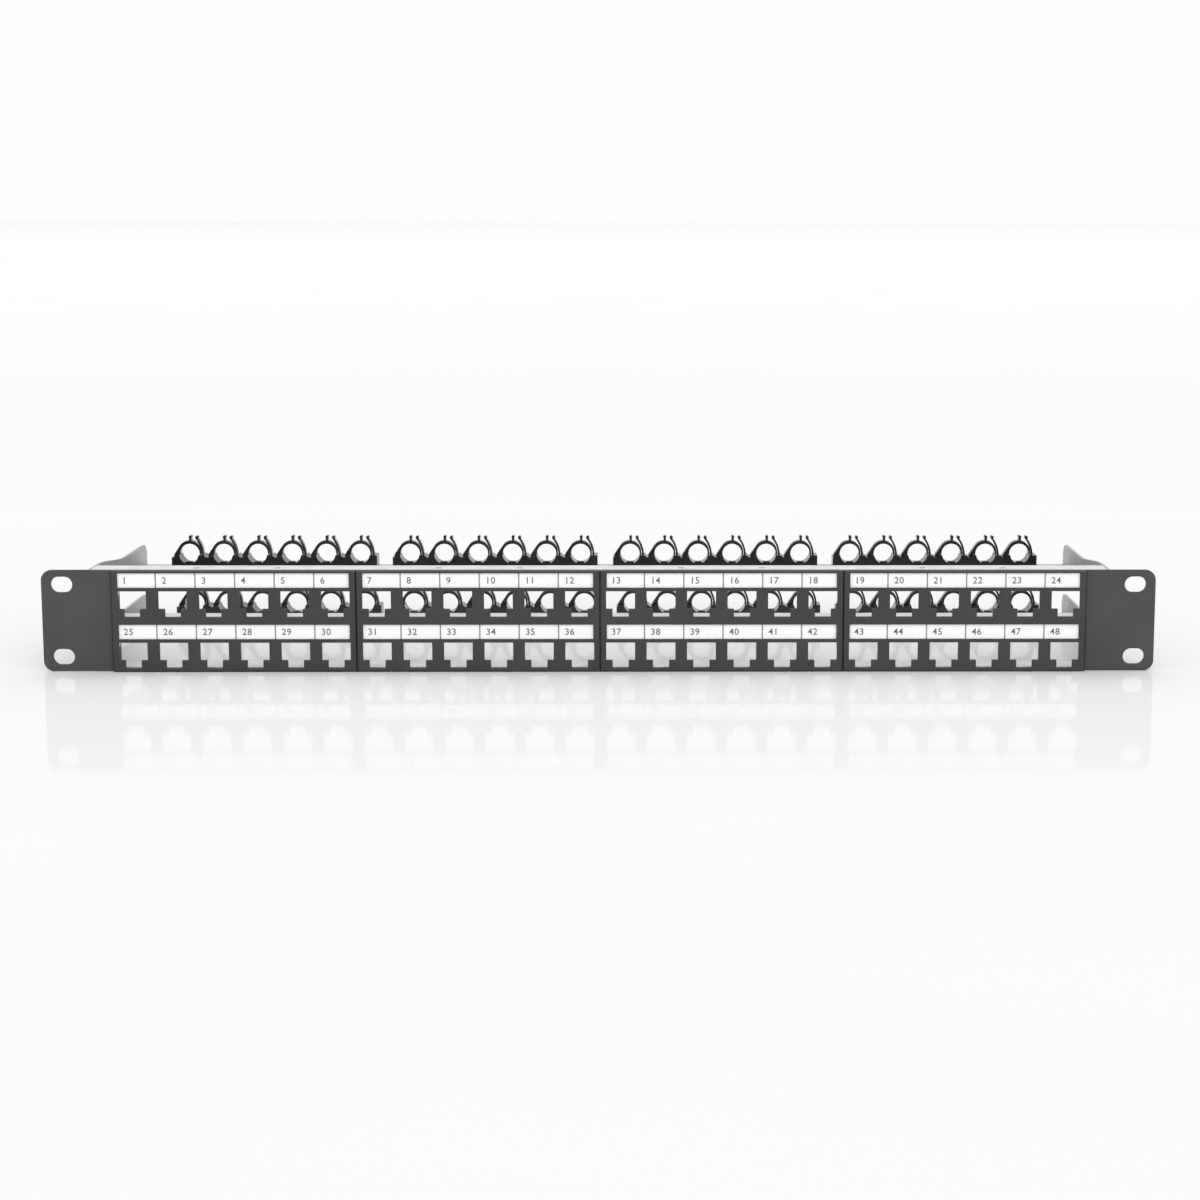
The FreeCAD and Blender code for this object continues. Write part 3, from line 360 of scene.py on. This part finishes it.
def new_piece(name, mesh, slot, look=None):
    """A mesh as a piece that rides on the root body and takes its finish from a slot."""
    piece = bpy.data.objects.new(name, mesh)
    bpy.context.scene.collection.objects.link(piece)
    mesh.materials.append(LOOKS[look or slot])
    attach(piece, "root")
    return piece


def add_box(mesh, low, high):
    """Closed box between two corners."""
    made = bmesh.ops.create_cube(mesh, size=1.0)["verts"]
    size = [h - l for l, h in zip(low, high)]
    middle = [(l + h) / 2 for l, h in zip(low, high)]
    bmesh.ops.scale(mesh, vec=size, verts=made)
    bmesh.ops.translate(mesh, vec=middle, verts=made)


def finish_mesh(mesh, name):
    """Turn the working mesh into mesh data."""
    data = bpy.data.meshes.new(name)
    mesh.to_mesh(data)
    mesh.free()
    return data


# ---------------------------------------------------------------- printed labels

CELL_PITCH = 17.05 * MM
CELL_SHIFT = 0.6 * MM
LINE_WIDTH = 0.6 * MM
INK = 0.02 * MM
DIGIT_HEIGHT = 2.8 * MM
DIGIT_INSET = 2.7 * MM
DIGIT_RAISE = 1.8 * MM
DIGIT_SHARE = 0.69
DIGIT_BOLD = 0.05 * MM
DIGIT_SPACING = 1.08
DIGIT_STEPS = 3
DIGIT_WELD = 1e-7


def label_feet(low, high):
    """Heights of the lower edges of the upper and the lower row of label strips."""
    middle = (low.z + high.z) / 2
    heights = [vertex.co.z for vertex in frame["nodes"]["label_strips"].data.vertices]
    return min(z for z in heights if z > middle), low.z


def label_cells():
    """Every printed cell: its port number, its left edge, its foot and its height."""
    low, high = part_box("label_strips")
    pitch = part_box("bezel_2")[0].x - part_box("bezel_1")[0].x
    length = high.x - low.x - (MODULES - 1) * pitch
    feet = label_feet(low, high)
    for row, foot in enumerate(feet):
        for port in range(MODULES * PORTS_PER_ROW):
            module, cell = divmod(port, PORTS_PER_ROW)
            middle = low.x + length / 2 + module * pitch + CELL_SHIFT
            left = middle + (cell - PORTS_PER_ROW / 2) * CELL_PITCH
            yield row * MODULES * PORTS_PER_ROW + port + 1, left, foot, high.z - feet[0]


def text_mesh(words, height):
    """Closed thin mesh of a text, standing in the XZ plane with its foot and left end at the origin."""
    curve = bpy.data.curves.new("number", "FONT")
    curve.body = words
    curve.size = height / DIGIT_SHARE
    curve.space_character = DIGIT_SPACING
    curve.extrude = INK
    curve.offset = DIGIT_BOLD
    curve.resolution_u = DIGIT_STEPS
    holder = bpy.data.objects.new("number", curve)
    bpy.context.scene.collection.objects.link(holder)
    bpy.context.view_layer.update()
    mesh = bpy.data.meshes.new_from_object(holder.evaluated_get(bpy.context.evaluated_depsgraph_get()))
    bpy.data.objects.remove(holder)
    bpy.data.curves.remove(curve)
    mesh.transform(Matrix.Rotation(math.pi / 2, 4, "X"))
    return mesh


def print_labels():
    """Lines between the cells and a number in each: 1 to 24 along the upper row, 25 to 48 below."""
    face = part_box("label_strips")[0].y
    lines, numbers = bmesh.new(), bmesh.new()
    for number, left, foot, tall in label_cells():
        if (number - 1) % PORTS_PER_ROW:
            add_box(lines, (left - LINE_WIDTH / 2, face - INK, foot),
                    (left + LINE_WIDTH / 2, face + INK, foot + tall))
        mesh = text_mesh(str(number), DIGIT_HEIGHT)
        mesh.transform(Matrix.Translation((left + DIGIT_INSET, face, foot + DIGIT_RAISE)))
        numbers.from_mesh(mesh)
        bpy.data.meshes.remove(mesh)
    bmesh.ops.remove_doubles(numbers, verts=numbers.verts, dist=DIGIT_WELD)
    new_piece("label_cell_lines", finish_mesh(lines, "label_cell_lines"), "label_card", "label_line")
    new_piece("port_numbers", finish_mesh(numbers, "port_numbers"), "label_card", "label_ink")


print_labels()


# ---------------------------------------------------------------- screws and rivets

SEGMENTS = 64
HEAD_RINGS = 14
SCREW_HEAD = (2.8 * MM, 1.7 * MM)
SCREW_SHANK = (1.5 * MM, 4.0 * MM)
SHANK_POINT = 0.3 * MM
HEAD_SLACK = 0.1 * MM
RIVET_HEAD = (2.4 * MM, 0.9 * MM)
RIVET_SHANK = (1.5 * MM, 2.7 * MM)
RIVET_TAIL = (2.0 * MM, 0.9 * MM)
CROSS = (0.95 * MM, 3.2 * MM, 1.1 * MM)
CROSS_FLANK = 0.18 * MM
CROSS_END = 0.55 * MM
RIM = 0.45
RIM_SHARE = 0.33
SEAT_SHARE = 0.08
SEAT_RADIUS = 0.97
CROWN_FALL = 2.2
CROWN_SHRINK = 0.05
CROWN_TURN = 8


def dome(radius, height):
    """Profile of a domed head, from its middle to the edge that bears: (radius, height) pairs."""
    crown = []
    for step in range(1, HEAD_RINGS + 1):
        share = step / HEAD_RINGS
        fall = (1 - RIM) * share ** CROWN_FALL
        crown.append((radius * share * (1 - CROWN_SHRINK * share ** CROWN_TURN), height * (1 - fall)))
    return crown + [(radius, height * RIM_SHARE), (radius, height * SEAT_SHARE), (radius * SEAT_RADIUS, 0.0)]


def cross_depth(x, y):
    """Depth of a tapered cross recess at a place on a head."""
    width, length, deepest = CROSS
    depth = 0.0
    for across, along in ((x, y), (y, x)):
        side = (width / 2 - abs(across)) / CROSS_FLANK
        end = (length / 2 - abs(along)) / CROSS_END
        depth = max(depth, min(1.0, side, end))
    return deepest * max(0.0, depth)


def turned(mesh, profile, place, sign, recess=None):
    """Closed turned body along X.  The profile gives (radius, distance along X) from tip to tip."""
    rings = []
    for radius, height in profile:
        ring = []
        for step in range(SEGMENTS):
            angle = 2 * math.pi * step / SEGMENTS
            y, z = radius * math.cos(angle), radius * math.sin(angle)
            sunk = recess(y, z) if recess and height > 0 else 0.0
            ring.append(mesh.verts.new((place[0] + sign * (height - sunk), place[1] + y, place[2] + z)))
        rings.append(ring)
    faces = []
    for ring, following in zip(rings, rings[1:]):
        for step in range(SEGMENTS):
            after = (step + 1) % SEGMENTS
            faces.append(mesh.faces.new((ring[step], ring[after], following[after], following[step])))
    for ring, (_, height) in ((rings[0], profile[0]), (rings[-1], profile[-1])):
        sunk = recess(0.0, 0.0) if recess and ring is rings[0] else 0.0
        tip = mesh.verts.new((place[0] + sign * (height - sunk), place[1], place[2]))
        for step in range(SEGMENTS):
            faces.append(mesh.faces.new((ring[step], ring[(step + 1) % SEGMENTS], tip)))
    return faces


def solid_boxes(node):
    """Boxes of a node's separate solids, in order of place, found by joining vertices that share an edge."""
    thing = bmesh.new()
    thing.from_mesh(frame["nodes"][node].data)
    bmesh.ops.remove_doubles(thing, verts=thing.verts, dist=WELD_DISTANCE)
    waiting = set(thing.verts)
    boxes = []
    while waiting:
        front = [waiting.pop()]
        cluster = []
        while front:
            vertex = front.pop()
            cluster.append(vertex.co.copy())
            for edge in vertex.link_edges:
                other = edge.other_vert(vertex)
                if other in waiting:
                    waiting.remove(other)
                    front.append(other)
        boxes.append((Vector(map(min, zip(*cluster))), Vector(map(max, zip(*cluster)))))
    thing.free()
    return sorted(boxes, key=lambda box: tuple(box[0]))


def make_fasteners():
    """Domed cross-recess screws and domed rivets in the places of the CAD's plain ones."""
    mesh = bmesh.new()
    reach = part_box("fasteners")[1].x
    for low, high in solid_boxes("fasteners"):
        middle = (low + high) / 2
        sign = 1 if middle.x > 0 else -1
        outer = max(abs(low.x), abs(high.x))
        inner = min(abs(low.x), abs(high.x))
        if abs(outer - reach) < HEAD_SLACK:
            radius, length = SCREW_SHANK
            seat = outer - SCREW_HEAD[1]
            point = [(radius, SHANK_POINT - length), (radius - SHANK_POINT, -length)]
            profile = dome(*SCREW_HEAD) + [(radius, 0.0)] + point
            turned(mesh, profile, (sign * seat, middle.y, middle.z), sign, cross_depth)
        else:
            radius, length = RIVET_SHANK
            seat = inner + RIVET_HEAD[1]
            tail = [(r, -length - h) for r, h in reversed(dome(*RIVET_TAIL))]
            profile = dome(*RIVET_HEAD) + [(radius, 0.0), (radius, -length)] + tail
            turned(mesh, profile, (sign * seat, middle.y, middle.z), -sign)
    bmesh.ops.recalc_face_normals(mesh, faces=mesh.faces)
    for face in mesh.faces:
        face.smooth = True
    piece = new_piece("screws_and_rivets", finish_mesh(mesh, "screws_and_rivets"), "zinc_plated_steel")
    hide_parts("fasteners")


make_fasteners()


# ---------------------------------------------------------------- table, light and camera

TABLE_REACH = 30.0
TABLE_GAP = 0.05 * MM


def make_table():
    """Wide flat table that the panel stands on."""
    mesh = bmesh.new()
    bmesh.ops.create_grid(mesh, x_segments=1, y_segments=1, size=TABLE_REACH)
    table = bpy.data.objects.new("table_top", finish_mesh(mesh, "table_top"))
    table.location.z = cad_low.z - TABLE_GAP
    table.data.materials.append(make_floor_gloss())
    bpy.context.scene.collection.objects.link(table)


SKY_STRENGTH = 0.985
KEY_SUN = ((0.5, -1.0, 0.6), 35, 0.75)
OVERHEAD_SUN = ((0.0, 0.1, 1.0), 70, 0.4)


def make_sun(name, towards, width, power):
    """Distant soft light that comes from a direction and looks width degrees wide."""
    lamp = bpy.data.lights.new(name, "SUN")
    lamp.angle = math.radians(width)
    lamp.energy = power
    thing = bpy.data.objects.new(name, lamp)
    thing.rotation_mode = "QUATERNION"
    thing.rotation_quaternion = Vector(towards).to_track_quat("Z", "Y")
    bpy.context.scene.collection.objects.link(thing)


def make_sky(strength):
    """Even white light from all around."""
    world = bpy.data.worlds.new("studio")
    world.use_nodes = True
    background = world.node_tree.nodes["Background"]
    background.inputs["Color"].default_value = (1.0, 1.0, 1.0, 1.0)
    background.inputs["Strength"].default_value = strength
    bpy.context.scene.world = world


CAMERA_PLACE = (0.0256, -0.9534, 0.1772)
CAMERA_PITCH, CAMERA_ROLL, CAMERA_TURN = 8.166, 0.104, -0.72
CAMERA_LENS = 66.83
CAMERA_SHIFT = (-0.0724, -0.06)
SENSOR_WIDTH = 36.0
VIEW_RANGE = (0.05, 100.0)


def make_camera():
    """Slightly raised view from the front, looking down by the pitch; a positive turn looks left."""
    lens = bpy.data.cameras.new("camera")
    lens.sensor_width = SENSOR_WIDTH
    lens.lens = CAMERA_LENS
    lens.shift_x, lens.shift_y = CAMERA_SHIFT
    lens.clip_start, lens.clip_end = VIEW_RANGE
    camera = bpy.data.objects.new("camera", lens)
    camera.location = CAMERA_PLACE
    pitch, roll, turn = map(math.radians, (CAMERA_PITCH, CAMERA_ROLL, CAMERA_TURN))
    upright = Matrix.Rotation(turn, 4, "Z") @ Matrix.Rotation(math.pi / 2 - pitch, 4, "X")
    camera.rotation_mode = "QUATERNION"
    camera.rotation_quaternion = (upright @ Matrix.Rotation(roll, 4, "Z")).to_quaternion()
    bpy.context.scene.collection.objects.link(camera)
    bpy.context.scene.camera = camera


make_table()
make_sky(SKY_STRENGTH)
make_sun("key", *KEY_SUN)
make_sun("overhead", *OVERHEAD_SUN)
make_camera()
bpy.context.scene.view_settings.view_transform = "Standard"
